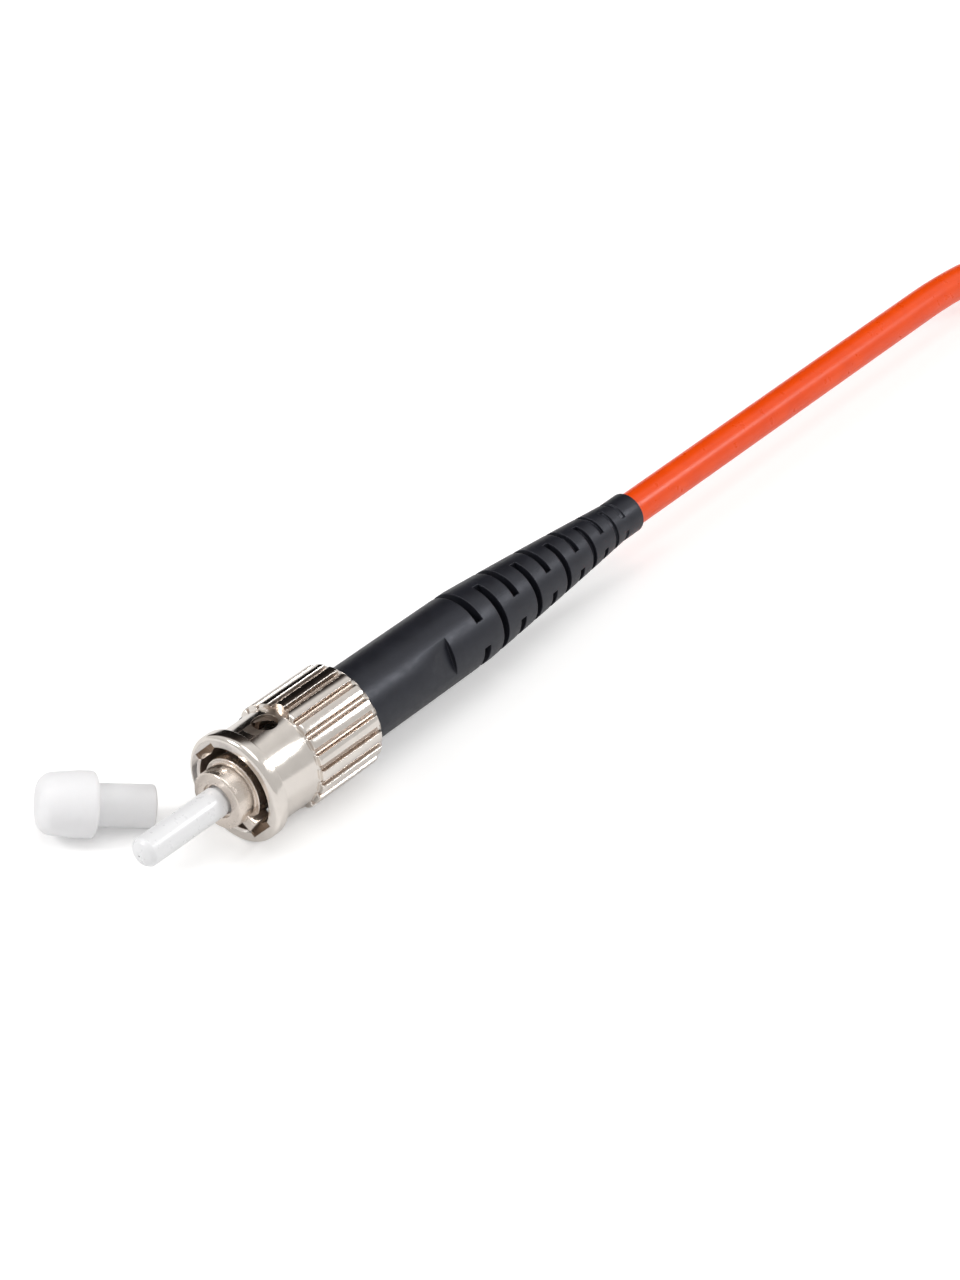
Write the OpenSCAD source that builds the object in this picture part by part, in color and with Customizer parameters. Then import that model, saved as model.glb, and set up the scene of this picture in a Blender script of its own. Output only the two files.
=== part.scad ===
// Bayonet-lock optical fibre connector on a simplex jacketed cable.
// The axis lies along X and the fibre end points to -X. The origin is on the
// axis at the front face of the hub. Angles round the axis run from +Y to +Z.

/* [Ferrule and fibre] */
// Diameter of the ceramic ferrule
ferrule_d = 2.5; // [2:0.05:2.8]
// How far the ferrule stands out of the hub
ferrule_reach = 8.6; // [6:0.1:11]
// How deep the ferrule is bonded into the hub
ferrule_seat = 5.9; // [4:0.1:7]
// Rounding of the ferrule's polished tip
ferrule_tip_r = 0.5; // [0.2:0.05:0.8]
// Width of the bond groove round the ferrule at the hub's front face
bond_groove_w = 0.7; // [0.6:0.05:1]
// Depth of the bond groove
bond_groove_depth = 0.2; // [0.17:0.01:0.25]
// Diameter of the bare glass fibre
fibre_d = 0.125; // [0.12:0.005:0.2]
// Diameter of the tight buffer on the fibre
buffer_d = 0.9; // [0.6:0.05:1]

/* [Connector body] */
// Diameter of the hub that enters the adapter
hub_d = 4.9; // [4.4:0.1:5.1]
// Length of the hub in front of its collar
hub_len = 1.7; // [1.4:0.1:2.4]
// Diameter of the collar that the spring pushes
collar_d = 5.6; // [5.5:0.1:6]
// Thickness of the collar
collar_len = 0.9; // [0.6:0.1:1.3]
// Width of the key lug
key_w = 1.1; // [0.8:0.1:1.4]
// How far the key lug reaches from the axis
key_reach = 3.3; // [3:0.05:3.4]
// How far the key lug stands in front of the collar
key_len = 0.9; // [0.5:0.1:1.2]
// Angle of the key lug round the axis
key_angle = 211; // [0:1:359]
// Diameter of the shank that the nut runs on
shank_d = 4.2; // [3.8:0.1:4.3]
// Diameter of the ridged crimp post
post_d = 3.5; // [3.2:0.1:3.6]
// Length of the crimp post
post_len = 7; // [5:0.5:8]
// Number of grooves round the crimp post
post_grooves = 6; // [2:1:8]
// How far the shank reaches back into the boot
shank_in_boot = 1.1; // [0.8:0.1:1.4]

/* [Coupling nut] */
// Distance from the hub's front face back to the nut's front face
nut_setback = 1.75; // [1:0.05:2.5]
// Diameter of the front rim
rim_d = 9.4; // [9:0.1:10]
// Thickness of the front rim
rim_len = 1.25; // [1:0.05:1.6]
// Rounding of the rim's front edge
rim_round = 0.5; // [0.2:0.05:0.7]
// Diameter of the smooth barrel
barrel_d = 8.35; // [8.2:0.05:8.8]
// Length of the smooth barrel
barrel_len = 4.15; // [4:0.05:6]
// Diameter over the ribs of the grip
grip_d = 9.3; // [9:0.05:10]
// Length of the ribbed grip
grip_len = 7.15; // [6:0.05:9]
// Bore that takes the adapter's barrel
nut_bore_d = 7.1; // [6.9:0.05:7.2]
// Depth of that bore
nut_bore_depth = 6.3; // [6:0.1:6.6]
// Bore behind it that houses the spring
spring_bore_d = 6.3; // [6.1:0.1:6.6]
// Thickness of the inner web that the spring bears on
web_len = 1.2; // [0.8:0.1:1.6]
// Bore at the rear of the nut
rear_bore_d = 7.5; // [7.1:0.1:7.9]
// Depth of the rear bore
rear_bore_depth = 3.5; // [3.2:0.1:4]

/* [Grip flutes] */
// Number of flutes round the grip
flutes = 20; // [12:1:28]
// Depth of each flute
flute_depth = 0.34; // [0.15:0.01:0.4]
// Width of each flute at its mouth
flute_mouth = 0.62; // [0.4:0.02:0.8]
// Width of each flute at its floor
flute_floor = 0.4; // [0.2:0.02:0.5]
// Angle of the first flute
flute_angle = 5; // [0:1:17]

/* [Bayonet tracks] */
// Angle of the first entry notch
notch_angle = 41; // [0:1:179]
// Width of the entry notches
notch_w = 2.6; // [2.2:0.1:3]
// Length of the straight entry behind the front face
notch_len = 1.3; // [1:0.1:2]
// How far the nut turns to lock
lock_turn = 46; // [40:1:60]
// Diameter of the detent hole
detent_d = 2.1; // [1.9:0.05:2.3]
// Distance of the detent hole in front of the grip
detent_setback = 1.33; // [1.2:0.05:1.8]
// Diameter of the spotface round the detent hole
spotface_d = 3.8; // [3:0.1:4]
// Wall left outside the tracks
track_wall = 0.26; // [0.2:0.01:0.35]

/* [Spring and rings] */
// Wire diameter of the spring
wire_d = 0.45; // [0.3:0.05:0.5]
// Turns of the spring
spring_turns = 7; // [5:1:8]
// Thickness of the spring washer
spring_washer_len = 0.4; // [0.3:0.05:0.6]
// Diameter of the spring washer
spring_washer_d = 6; // [5.6:0.1:6]
// Thickness of the thrust washer
thrust_washer_len = 0.35; // [0.2:0.05:0.5]
// Diameter of the thrust washer
thrust_washer_d = 6.2; // [5.8:0.1:6.8]
// Thickness of the retaining ring
ring_len = 0.45; // [0.3:0.05:0.5]
// Outer diameter of the retaining ring
ring_d = 5.8; // [5:0.1:6.2]
// Depth of the groove that holds the ring
ring_groove = 0.35; // [0.25:0.05:0.45]
// Gap between the ends of the ring
ring_gap = 1.6; // [1:0.1:2]

/* [Crimp] */
// Outer diameter of the crimp sleeve over the post
crimp_d = 5.1; // [4.8:0.1:5.1]
// Wall of the crimp sleeve
crimp_wall = 0.43; // [0.3:0.01:0.45]
// How far the sleeve reaches forward over the shank
crimp_lap = 0.5; // [0.3:0.1:0.8]
// Length of the sleeve's grip on the jacket
crimp_tail = 5; // [3:0.5:7]
// Distance from the crimp post to the end of the jacket
jacket_setback = 2; // [1.6:0.1:3]
// Width across the flats of the hexagonal crimp
crimp_flats = 4.85; // [4.7:0.05:5]
// Length of the hexagonal crimp
crimp_hex_len = 4; // [2:0.5:5]

/* [Boot] */
// Diameter of the boot where it leaves the nut
boot_d = 6.74; // [6.4:0.02:6.9]
// Diameter of the boot where its taper starts
boot_waist_d = 6.62; // [6.3:0.02:6.8]
// Diameter of the boot at the cable end
boot_end_d = 3.58; // [3.5:0.02:4.2]
// Length of the boot behind the nut
boot_len = 36.4; // [34:0.2:42]
// Length of its straight part behind the nut
boot_straight = 15.2; // [13:0.2:16]
// How far the boot reaches into the nut
boot_nose = 2.35; // [2.3:0.05:2.5]
// Swell of the taper beyond a straight cone
boot_crown = 0.05; // [0:0.01:0.1]
// Depth of the sunken panel at its deep end
panel_depth = 0.48; // [0.2:0.02:0.5]
// Length of the sunken panel
panel_len = 3.4; // [2:0.1:5]
// Distance from the nut to the panel's deep end
panel_at = 10.2; // [8:0.1:11.5]
// Angle of the panel and of the first webs
boot_angle = 157; // [0:1:359]

/* [Boot slots] */
// Number of slot stations
slot_count = 11; // [6:1:11]
// Distance from the nut to the first slot
slot_first = 14.1; // [13.5:0.1:16]
// Spacing of the first two slots
slot_pitch = 2.5; // [2.2:0.05:2.6]
// How much each spacing shrinks
slot_shrink = 0.11; // [0.08:0.01:0.14]
// Width of the first slot
slot_w = 0.78; // [0.5:0.02:0.9]
// How much each slot is narrower than the last
slot_narrowing = 0.03; // [0:0.005:0.04]
// Angle that the two webs bridge at each station
web_angle = 40; // [30:1:60]
// Wall left under the first slot
slot_floor_first = 0.55; // [0.3:0.05:0.8]
// Wall left under the last slot
slot_floor_last = 0.1; // [0.08:0.01:0.12]

/* [Cable] */
// Diameter of the cable jacket
cable_d = 3; // [2.6:0.1:3]
// Distance from the boot over which the cable stays straight
cable_run = 49.3; // [44:0.1:54]
// Length over which the cable swings aside to join the coil
swing_len = 28; // [28:1:34]
// Length over which the cable comes down to the ground
drop_len = 28; // [26:1:34]
// Straight length of the long, narrow coil
coil_run = 26.8; // [20:0.2:30]
// Bend radius of the innermost turn
coil_bend_r = 9; // [9:0.5:10]
// Turns that lie side by side in the coil
coil_rows = 2; // [1:1:3]
// Turns that lie on top of each other in the coil
coil_layers = 4; // [2:1:5]
// Width of the tie round one side of the coil
tie_w = 5; // [3:0.5:8]
// Thickness of the tie
tie_t = 0.35; // [0.2:0.05:0.5]

/* [Dust cap] */
// Diameter of the cap's head
cap_head_d = 5.3; // [4.8:0.1:6]
// Length of the head
cap_head_len = 4.6; // [3:0.1:6]
// Rounding of the head's closed end
cap_head_r = 1.2; // [0.4:0.1:1.6]
// Diameter of the cap's stem
cap_stem_d = 3.45; // [3.3:0.05:3.8]
// Length of the stem
cap_stem_len = 4.6; // [3:0.1:6]
// Rounding at the mouth of the stem
cap_lip_r = 0.25; // [0.1:0.05:0.4]
// Wall left at the closed end
cap_end_wall = 0.9; // [0.6:0.1:1.5]
// Place of the cap's closed end along the axis
cap_x = -7.9; // [-12:0.1:-6]
// Place of the cap's closed end beside the axis
cap_y = 11.7; // [10.5:0.1:16]
// Direction in which the cap lies
cap_turn = -39; // [-60:1:-20]

/* [Fits] */
// Clearance round bonded and seated pieces
fit_gap = 0.02; // [0.01:0.005:0.03]
// Clearance round the shank for the nut and the washers
run_gap = 0.06; // [0.03:0.01:0.1]
// Clearance of the boot round the crimp and the cable
boot_gap = 0.07; // [0.04:0.01:0.1]
// Gap between the jacket and its crimp
jacket_gap = 0.03; // [0.02:0.01:0.05]
// Clearance in the dust cap's bore
cap_gap = 0.03; // [0.01:0.01:0.1]

/* [Hidden] */
$fn = 96;
past = 1;            // how far a cut runs past the solid it opens
small_chamfer = 0.15;

// stations along the axis, front to back
collar_front = hub_len;
collar_back = collar_front + collar_len;
nut_front = nut_setback;
rim_back = nut_front + rim_len;
grip_front = rim_back + barrel_len;
nut_back = grip_front + grip_len;
bore_back = nut_front + nut_bore_depth;
web_back = nut_back - rear_bore_depth;
web_front = web_back - web_len;
washer_front = web_front - fit_gap - spring_washer_len;
thrust_front = web_back + fit_gap;
ring_front = thrust_front + thrust_washer_len + fit_gap;
groove_back = ring_front + ring_len + fit_gap;
boot_front = nut_back - boot_nose;
shank_back = boot_front + shank_in_boot;
post_back = shank_back + post_len;
jacket_front = post_back + jacket_setback;
crimp_front = shank_back - crimp_lap;
crimp_back = jacket_front + crimp_tail;
boot_back = nut_back + boot_len;
taper_front = nut_back + boot_straight;

// radii
ferrule_r = ferrule_d / 2;
hub_r = hub_d / 2;
collar_r = collar_d / 2;
shank_r = shank_d / 2;
post_r = post_d / 2;
rim_r = rim_d / 2;
barrel_r = barrel_d / 2;
grip_r = grip_d / 2;
bore_r = nut_bore_d / 2;
track_r = barrel_r - track_wall;
jacket_r = cable_d / 2;
buffer_channel_r = buffer_d / 2 + 0.15;
crimp_r = crimp_d / 2;
crimp_bore_r = crimp_r - crimp_wall;
crimp_tail_bore_r = jacket_r + jacket_gap;
crimp_tail_r = crimp_tail_bore_r + crimp_wall;
boot_bore_r = jacket_r + boot_gap;
floor_z = -rim_r;

// the detent holes
detent_x = grip_front - detent_setback;
detent_r = detent_d / 2;
lug_steps = 10;

// slot stations on the boot
function slot_x(i) =
    nut_back + slot_first + i * slot_pitch - slot_shrink * i * (i - 1) / 2;
last_slot = slot_x(slot_count - 1);
function along(x, x0, x1) = (x - x0) / (x1 - x0);
// outer radius of the boot's taper
function taper_r(x) =
    let (t = along(x, taper_front, last_slot))
    boot_waist_d / 2 + t * (boot_end_d - boot_waist_d) / 2
    + boot_crown * sin(180 * t);

// ---- helpers ----

// turns what was drawn along Z so that it lies along X
module along_x() rotate([0, 90, 0]) children();

// solid turned from [x, radius] points
module turned(points)
    along_x() rotate_extrude() polygon([for (p = points) [p[1], p[0]]]);

module disc(x0, x1, r)
    translate([x0, 0, 0]) along_x() cylinder(h = x1 - x0, r = r);

module ring(x0, x1, r_out, r_in)
    difference() {
        disc(x0, x1, r_out);
        disc(x0 - past, x1 + past, r_in);
    }

// round cutter that points away from the axis at one angle
module radial_pin(x, angle, r, r_from, r_to)
    rotate([angle, 0, 0]) translate([x, r_from, 0]) rotate([-90, 0, 0])
        cylinder(h = r_to - r_from, r = r);

// ---- ferrule, fibre and buffer ----

module ferrule() color("white") {
    fibre_bore_r = fibre_d / 2 + fit_gap / 2;
    funnel_len = 1.4;
    funnel_front = ferrule_seat - funnel_len;
    groove_front = -0.1;
    difference() {
        union() {
            translate([-ferrule_reach, 0, 0]) along_x() rotate_extrude() {
                square([ferrule_r - ferrule_tip_r, ferrule_tip_r * 2]);
                translate([ferrule_r - ferrule_tip_r, ferrule_tip_r])
                    circle(ferrule_tip_r);
            }
            disc(-ferrule_reach + ferrule_tip_r, ferrule_seat - small_chamfer,
                ferrule_r);
            turned([
                [ferrule_seat - small_chamfer, 0],
                [ferrule_seat - small_chamfer, ferrule_r],
                [ferrule_seat, ferrule_r - small_chamfer], [ferrule_seat, 0]
            ]);
        }
        disc(-ferrule_reach - past, ferrule_seat + past, fibre_bore_r);
        // funnel that guides the fibre in from behind
        turned([
            [funnel_front, 0], [funnel_front, fibre_bore_r],
            [ferrule_seat, buffer_d / 2], [ferrule_seat + past, buffer_d / 2],
            [ferrule_seat + past, 0]
        ]);
        ring(groove_front, groove_front + bond_groove_w, ferrule_r + past,
            ferrule_r - bond_groove_depth);
    }
}

module glass_fibre() color("lightcyan")
    disc(-ferrule_reach, ferrule_seat + fit_gap, fibre_d / 2);

module tight_buffer() color("ivory")
    disc(ferrule_seat + fit_gap, jacket_front, buffer_d / 2);

// ---- connector body: hub, key, collar, shank and crimp post in one ----

module connector_body() color("tan") {
    recess_r = ferrule_r + 0.2;
    recess_depth = 0.3;
    post_pitch = post_len / (post_grooves + 1);
    groove_half = 0.2;
    groove_depth = 0.12;
    difference() {
        union() {
            turned([
                [0, 0], [0, hub_r - small_chamfer], [small_chamfer, hub_r],
                [collar_front, hub_r], [collar_front, collar_r],
                [collar_back, collar_r], [collar_back, shank_r],
                [shank_back, shank_r], [shank_back, post_r],
                [post_back, post_r], [post_back, 0]
            ]);
            rotate([key_angle, 0, 0])
                translate([collar_front - key_len, 0, -key_w / 2])
                    cube([key_len + collar_len, key_reach, key_w]);
        }
        disc(-past, recess_depth, recess_r);
        disc(-past, ferrule_seat + fit_gap, ferrule_r + fit_gap / 2);
        disc(0, post_back + past, buffer_channel_r);
        // groove of the retaining ring
        difference() {
            disc(ring_front - fit_gap, groove_back, shank_r + past);
            disc(ring_front - past, groove_back + past, shank_r - ring_groove);
        }
        // grooves that grip the yarn
        for (k = [1:post_grooves])
            ring(shank_back + k * post_pitch - groove_half,
                shank_back + k * post_pitch + groove_half, post_r + past,
                post_r - groove_depth);
    }
}

// ---- spring between the collar and the nut ----

// share of the spring's height after t turns: the end turns lie nearly flat
end_turn_rise = 0.06;
function spring_rise(t) =
    t < 1 ? end_turn_rise * t
    : t > spring_turns - 1 ? 1 - end_turn_rise * (spring_turns - t)
    : end_turn_rise
        + (1 - 2 * end_turn_rise) * (t - 1) / (spring_turns - 2);

// side walls and end caps of a tube of stacked rings
function tube_faces(last, sides) = concat(
    [for (i = [0:last - 1]) for (k = [0:sides - 1])
        let (a = i * sides + k, b = i * sides + (k + 1) % sides)
        each [[a, b, b + sides], [a, b + sides, a + sides]]],
    [[for (k = [sides - 1:-1:0]) k]],
    [[for (k = [0:sides - 1]) last * sides + k]]
);

module spring() color("silver") {
    sides = 6;
    steps = 20;
    wire_r = wire_d / 2;
    mean_r = shank_r + run_gap * 3 + wire_r;
    start = collar_back + fit_gap + wire_r;
    end = washer_front - fit_gap - wire_r;
    last = spring_turns * steps;
    points = [
        for (i = [0:last])
            let (t = i / steps, a = 360 * t,
                x = start + (end - start) * spring_rise(t))
            for (k = [0:sides - 1])
                let (b = 360 * k / sides, r = mean_r + wire_r * cos(b))
                [x + wire_r * sin(b), r * cos(a), r * sin(a)]
    ];
    polyhedron(points, tube_faces(last, sides));
}

module spring_washer() color("silver")
    ring(washer_front, washer_front + spring_washer_len, spring_washer_d / 2,
        shank_r + run_gap);

module thrust_washer() color("gainsboro")
    ring(thrust_front, thrust_front + thrust_washer_len, thrust_washer_d / 2,
        shank_r + run_gap);

module retaining_ring() color("dimgray")
    difference() {
        ring(ring_front, ring_front + ring_len, ring_d / 2,
            shank_r - ring_groove + fit_gap);
        rotate([-90, 0, 0]) translate([ring_front - past, 0, -ring_gap / 2])
            cube([ring_len + 2 * past, ring_d, ring_gap]);
    }

// ---- coupling nut ----

module rim()
    translate([nut_front, 0, 0]) along_x() rotate_extrude() {
        square([rim_r - rim_round, rim_len]);
        translate([0, rim_round]) square([rim_r, rim_len - rim_round]);
        translate([rim_r - rim_round, rim_round]) circle(rim_round);
    }

// ribbed sleeve with straight flutes and chamfered ends
module grip() {
    front_chamfer = 0.2;
    back_chamfer = 0.4;
    intersection() {
        translate([grip_front, 0, 0]) along_x() linear_extrude(grip_len)
            difference() {
                circle(grip_r);
                for (k = [0:flutes - 1])
                    rotate(90 + flute_angle + k * 360 / flutes)
                        translate([grip_r, 0]) polygon([
                            [-flute_depth, -flute_floor / 2],
                            [-flute_depth, flute_floor / 2],
                            [0, flute_mouth / 2], [past, flute_mouth / 2],
                            [past, -flute_mouth / 2], [0, -flute_mouth / 2]
                        ]);
            }
        turned([
            [grip_front, 0], [grip_front, grip_r - front_chamfer],
            [grip_front + front_chamfer, grip_r],
            [nut_back - back_chamfer, grip_r],
            [nut_back, grip_r - back_chamfer], [nut_back, 0]
        ]);
    }
}

// entry notch, climbing track and detent hole of one bayonet pin
module bayonet_track() {
    turn_start = nut_front + notch_len + detent_r;
    spotface_depth = 0.06;
    intersection() {
        disc(nut_front - past, grip_front + grip_len / 2, track_r);
        union() {
            rotate([notch_angle, 0, 0])
                translate([nut_front - past, 0, -notch_w / 2])
                    cube([notch_len + past, track_r, notch_w]);
            for (k = [0:lug_steps])
                radial_pin(
                    turn_start + (detent_x - turn_start) * k / lug_steps,
                    notch_angle + lock_turn * k / lug_steps,
                    detent_r + fit_gap, bore_r / 2, barrel_r);
        }
    }
    radial_pin(detent_x, notch_angle + lock_turn, detent_r, bore_r / 2,
        rim_r + past);
    radial_pin(detent_x, notch_angle + lock_turn, spotface_d / 2,
        barrel_r - spotface_depth, rim_r + past);
}

module coupling_nut() color("silver")
    difference() {
        union() {
            rim();
            disc(rim_back - rim_len / 2, grip_front + past, barrel_r);
            grip();
        }
        disc(nut_front - past, bore_back, bore_r);
        turned([
            [nut_front - past, 0],
            [nut_front - past, bore_r + small_chamfer + past],
            [nut_front + small_chamfer, bore_r], [nut_front + past, 0]
        ]);
        disc(bore_back - past, web_front, spring_bore_d / 2);
        disc(web_front - past, web_back + past, shank_r + run_gap);
        disc(web_back, nut_back + past, rear_bore_d / 2);
        turned([
            [nut_back + past, 0],
            [nut_back + past, rear_bore_d / 2 + small_chamfer + past],
            [nut_back - small_chamfer, rear_bore_d / 2], [nut_back - past, 0]
        ]);
        for (side = [0, 180]) rotate([side, 0, 0]) bayonet_track();
    }

// ---- crimp and yarn ----

module crimp_sleeve() color("goldenrod") {
    hex_setback = 1;
    hex_front = shank_back + hex_setback;
    hex_back = hex_front + crimp_hex_len;
    cone_shift = 0.2;
    difference() {
        union() {
            turned([
                [crimp_front, 0], [crimp_front, crimp_r - small_chamfer],
                [crimp_front + small_chamfer, crimp_r],
                [hex_front, crimp_r], [hex_front, 0]
            ]);
            intersection() {
                disc(hex_front, hex_back, crimp_r);
                translate([hex_front - past, 0, 0]) along_x()
                    cylinder(h = crimp_hex_len + 2 * past,
                        r = crimp_flats / 2 / cos(30), $fn = 6);
            }
            turned([
                [hex_back, 0], [hex_back, crimp_r],
                [post_back + cone_shift, crimp_r],
                [jacket_front + cone_shift, crimp_tail_r],
                [crimp_back, crimp_tail_r], [crimp_back, 0]
            ]);
        }
        turned([
            [crimp_front - past, 0], [crimp_front - past, crimp_bore_r],
            [post_back, crimp_bore_r],
            [jacket_front - fit_gap, crimp_tail_bore_r],
            [crimp_back + past, crimp_tail_bore_r], [crimp_back + past, 0]
        ]);
    }
}

// strength yarn folded forward over the post
module aramid_yarn() color("khaki") {
    inner_r = post_r + fit_gap;
    outer_r = crimp_bore_r - fit_gap;
    channel_r = buffer_d / 2 + fit_gap;
    turned([
        [shank_back + fit_gap, inner_r], [shank_back + fit_gap, outer_r],
        [post_back - fit_gap, outer_r],
        [jacket_front - fit_gap, jacket_r - fit_gap],
        [jacket_front - fit_gap, channel_r],
        [post_back + fit_gap, channel_r], [post_back + fit_gap, inner_r]
    ]);
}

// ---- strain relief boot ----

module boot_outline() {
    nose_chamfer = 0.3;
    blend_len = 1;
    turned(concat(
        [[boot_front, 0], [boot_front, boot_d / 2 - nose_chamfer],
            [boot_front + nose_chamfer, boot_d / 2], [nut_back, boot_d / 2],
            [taper_front - blend_len, boot_waist_d / 2]],
        [for (i = [0:slot_count - 1])
            if (slot_x(i) > taper_front) [slot_x(i), taper_r(slot_x(i))]],
        [[boot_back - small_chamfer, boot_end_d / 2],
            [boot_back, boot_end_d / 2 - small_chamfer], [boot_back, 0]]
    ));
}

module boot_cavity() {
    cone_shift = 0.6;
    end_gap = 0.2;
    end_cone = 0.5;
    turned([
        [boot_front - past, 0], [boot_front - past, crimp_r + boot_gap],
        [post_back + cone_shift, crimp_r + boot_gap],
        [jacket_front + cone_shift, crimp_tail_r + boot_gap],
        [crimp_back + end_gap, crimp_tail_r + boot_gap],
        [crimp_back + end_gap + end_cone, boot_bore_r],
        [boot_back + past, boot_bore_r], [boot_back + past, 0]
    ]);
}

// one station: two slots that leave a web on each side
module slot_station(i) {
    x = slot_x(i);
    width = slot_w - i * slot_narrowing;
    share = i / (slot_count - 1);
    floor_r = boot_bore_r + slot_floor_first
        + share * (slot_floor_last - slot_floor_first);
    for (side = [0, 180])
        translate([x - width / 2, 0, 0]) along_x()
            rotate(90 + boot_angle + 90 * (i % 2) + web_angle / 2 + side)
                rotate_extrude(angle = 180 - web_angle)
                    translate([floor_r, 0]) square([boot_d, width]);
}

// flat recess that gets deeper towards the cable and ends in a step
module panel_cut() {
    deep = nut_back + panel_at;
    surface_r = (boot_d + boot_waist_d) / 4;
    lead_in = 0.1;
    rotate([boot_angle, 0, 0]) translate([0, 0, -boot_d / 2])
        linear_extrude(boot_d) polygon([
            [deep - panel_len, surface_r + lead_in],
            [deep, surface_r - panel_depth],
            [deep, surface_r + past], [deep - panel_len, surface_r + past]
        ]);
}

module boot() color("darkslategray")
    difference() {
        boot_outline();
        boot_cavity();
        for (i = [0:slot_count - 1]) slot_station(i);
        panel_cut();
    }

// ---- cable and its coil ----

// the coil's section, and its centres at both ends
coil_w = coil_rows * cable_d;
coil_h = coil_layers * cable_d;
coil_mid_r = coil_bend_r + coil_w / 2 - jacket_r;
coil_outer_r = coil_mid_r + coil_w / 2;
coil_front = boot_back + cable_run + swing_len + coil_bend_r;
coil_back = coil_front + coil_run;
coil_mid = (coil_front + coil_back) / 2;
coil_corner = 1.2;

// where the cable lies beside the axis, and where it enters the coil's side
cable_side = coil_outer_r - jacket_r;
cable_floor = floor_z + jacket_r;
cable_end = coil_front - fit_gap
    - sqrt(pow(coil_outer_r, 2) - pow(cable_side - jacket_r, 2));
swing_start = boot_back + cable_run;
drop_start = swing_start - 6;

// smooth change from 0 to 1
function eased(t) =
    let (u = min(max(t, 0), 1)) u * u * (3 - 2 * u);
// centre of the cable at x
function cable_at(x) = [
    x, -cable_side * eased((x - swing_start) / swing_len),
    cable_floor * eased((x - drop_start) / drop_len)
];

module cable() color("orangered") {
    sides = 8;
    step = 0.01;
    straight = [for (k = [0:3]) jacket_front + k * (drop_start - jacket_front) / 4];
    bent = [for (k = [0:14]) drop_start + k * (cable_end - drop_start) / 14];
    stations = concat(straight, bent);
    points = [
        for (x = stations)
            let (d = cable_at(x + step) - cable_at(x - step), h = d / norm(d),
                side = [-h[1], h[0], 0] / norm([h[0], h[1]]), up = cross(h, side))
            for (k = [0:sides - 1]) let (b = 360 * (k + 0.5) / sides)
                cable_at(x) + jacket_r * (cos(b) * side + sin(b) * up)
    ];
    polyhedron(points, tube_faces(len(stations) - 1, sides));
}

// section of the bundled turns, drawn as [distance, z] from its middle
module coil_section(inset) {
    w = coil_w / 2 - inset;
    h = coil_h / 2 - inset;
    c = coil_corner;
    polygon([
        [w - c, -h], [w, c - h], [w, h - c], [w - c, h],
        [c - w, h], [-w, h - c], [-w, c - h], [c - w, -h]
    ]);
}

// puts the section's middle at one place above the ground
module coil_height() translate([0, 0, floor_z + coil_h / 2]) children();

module tie_band(outset, gap)
    coil_height() translate([coil_mid, coil_mid_r, 0]) rotate([90, 0, 90])
        linear_extrude(tie_w + 2 * gap, center = true)
            difference() {
                coil_section(-outset);
                coil_section(tie_t + gap);
            }

module cable_coil() color("orangered")
    difference() {
        coil_height() {
            for (side = [-1, 1])
                translate([coil_front, side * coil_mid_r, 0])
                    rotate([90, 0, 90]) linear_extrude(coil_run) coil_section(0);
            for (end = [[coil_front, 90], [coil_back, -90]])
                translate([end[0], 0, 0]) rotate(end[1])
                    rotate_extrude(angle = 180)
                        translate([coil_mid_r, 0]) coil_section(0);
        }
        tie_band(past, fit_gap);
    }

module coil_tie() color("black") tie_band(0, 0);

// ---- dust cap, off the ferrule and lying beside it ----

module dust_cap() color("whitesmoke") {
    head_r = cap_head_d / 2;
    stem_r = cap_stem_d / 2;
    cap_len = cap_head_len + cap_stem_len;
    heel_r = 0.5;
    // the cap tips until head and stem both touch the ground
    heel = cap_head_len - heel_r;
    tilt = atan((head_r - stem_r) / (cap_len - cap_lip_r - heel));
    lift = heel * sin(tilt) + head_r * cos(tilt);
    translate([cap_x, cap_y, floor_z + lift]) rotate([0, tilt, cap_turn])
        difference() {
            along_x() rotate_extrude() {
                translate([0, cap_head_r])
                    square([head_r, cap_head_len - heel_r - cap_head_r]);
                square([head_r - cap_head_r, cap_head_len]);
                square([head_r - heel_r, cap_head_len]);
                translate([head_r - cap_head_r, cap_head_r])
                    circle(cap_head_r);
                translate([head_r - heel_r, cap_head_len - heel_r])
                    circle(heel_r);
                square([stem_r, cap_len - cap_lip_r]);
                square([stem_r - cap_lip_r, cap_len]);
                translate([stem_r - cap_lip_r, cap_len - cap_lip_r])
                    circle(cap_lip_r);
            }
            disc(cap_end_wall, cap_len + past, ferrule_r + cap_gap);
        }
}

ferrule();
glass_fibre();
tight_buffer();
connector_body();
spring();
spring_washer();
coupling_nut();
thrust_washer();
retaining_ring();
crimp_sleeve();
aramid_yarn();
boot();
cable();
cable_coil();
coil_tie();
dust_cap();
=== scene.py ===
import math
import random

import bmesh
import bpy
from mathutils import Matrix, Vector


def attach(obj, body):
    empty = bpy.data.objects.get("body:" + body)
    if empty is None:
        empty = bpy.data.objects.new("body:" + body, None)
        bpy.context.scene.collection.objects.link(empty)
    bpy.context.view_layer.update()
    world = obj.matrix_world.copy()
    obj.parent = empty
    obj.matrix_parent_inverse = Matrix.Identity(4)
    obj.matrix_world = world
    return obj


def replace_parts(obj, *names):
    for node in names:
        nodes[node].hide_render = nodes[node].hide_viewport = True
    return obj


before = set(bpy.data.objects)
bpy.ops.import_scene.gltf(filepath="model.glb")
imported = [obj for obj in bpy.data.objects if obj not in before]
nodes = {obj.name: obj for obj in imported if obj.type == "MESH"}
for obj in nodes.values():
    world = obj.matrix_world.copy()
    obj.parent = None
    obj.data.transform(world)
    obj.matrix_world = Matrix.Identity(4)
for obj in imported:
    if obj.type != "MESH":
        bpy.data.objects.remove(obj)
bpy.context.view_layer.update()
random.seed(7)

# Everything below is drawn in millimetres in the row's frame: X along the axis from the
# ferrule to the cable, Z up, angles round the axis from +Y to +Z. store() makes metres.
MM = 0.001
FLOOR = -4.7


# ---------------------------------------------------------------- mesh helpers

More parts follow.
